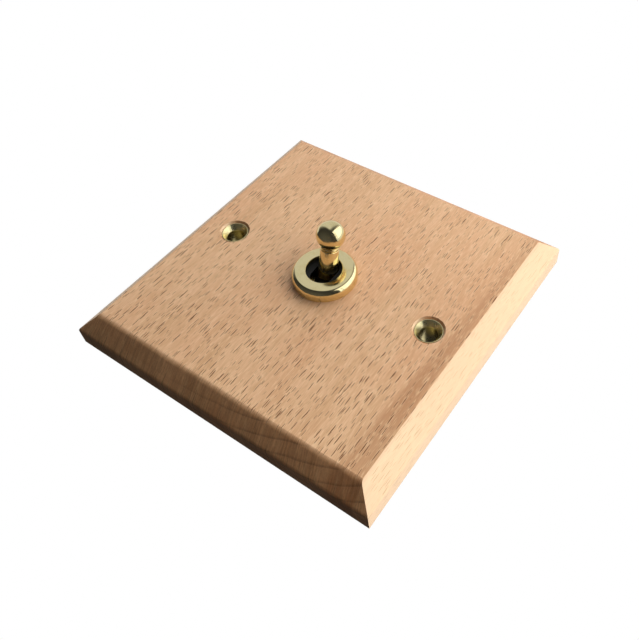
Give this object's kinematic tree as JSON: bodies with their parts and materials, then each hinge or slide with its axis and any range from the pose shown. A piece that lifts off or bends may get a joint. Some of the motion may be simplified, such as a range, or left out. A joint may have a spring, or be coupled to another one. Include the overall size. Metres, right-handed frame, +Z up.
{
  "type": "toggle wall switch",
  "caption": "Square bevelled beech wall plate with a ball-ended brass toggle in a round brass ring, brass-lined screw holes and a two-way switch mechanism behind.",
  "frame": {"origin": "centre of the plate's back face, in the plane of the wall", "axes": "+Z up on the wall, +X to the right seen from the front, the front of the switch faces -Y and +Y points into the wall"},
  "size_m": [0.086, 0.0453, 0.086],
  "materials": {
    "beech": "oiled, fine grain with short dark flecks",
    "polished_brass": "turned and polished",
    "terminal_brass": "stamped, satin",
    "plated_steel": "zinc or nickel plated",
    "spring_steel": "drawn wire",
    "black_rubber": "matt",
    "black_phenolic": "moulded, semi-gloss",
    "red_fibre": "pressed fibre",
    "copper": "rolled copper strip",
    "silver": "silver contact face"
  },
  "bodies": {
    "plate_assembly": {"faceplate": "beech", "ferrule_left": "polished_brass", "ferrule_right": "polished_brass", "dress_ring": "polished_brass", "bushing": "polished_brass", "dust_seal": "black_rubber", "locating_ring": "plated_steel", "lock_washer": "plated_steel", "hex_nut": "plated_steel", "pivot_pin": "plated_steel", "switch_strap": "plated_steel", "insulator_gasket": "red_fibre", "switch_base": "black_phenolic", "common_terminal": "terminal_brass", "upper_terminal": "terminal_brass", "lower_terminal": "terminal_brass", "upper_contact": "silver", "lower_contact": "silver", "clamp_plate_upper": "plated_steel", "clamp_plate_common": "plated_steel", "clamp_plate_lower": "plated_steel", "terminal_screw_upper": "plated_steel", "terminal_screw_common": "plated_steel", "terminal_screw_lower": "plated_steel"},
    "lever": {"lever_handle": "polished_brass", "lever_core": "black_phenolic", "plunger_spring": "spring_steel"},
    "plunger": {"plunger": "plated_steel"},
    "rocker": {"rocker_contact": "copper", "rocker_contact_upper": "silver", "rocker_contact_lower": "silver"}
  },
  "joints": [
    {"name": "lever_toggle", "type": "hinge", "parent": "plate_assembly", "child": "lever", "pos_m": [0, -0.0055, 0], "axis": [1, 0, 0], "range_deg": [0, 30]},
    {"name": "rocker_tilt", "type": "hinge", "parent": "plate_assembly", "child": "rocker", "pos_m": [0, 0.00835, 0], "axis": [1, 0, 0], "range_deg": [-18, 0]},
    {"name": "plunger_slide", "type": "slide", "parent": "lever", "child": "plunger", "axis": [0, -0.9659, 0.2588], "range_m": [0, 0.0008], "stiffness_N_per_m": 500, "springref_m": -0.002, "deforming": ["plunger_spring"]}
  ],
  "couplings": [
    {"joint": "rocker_tilt", "follows": "lever_toggle", "ratio": -0.6}
  ]
}
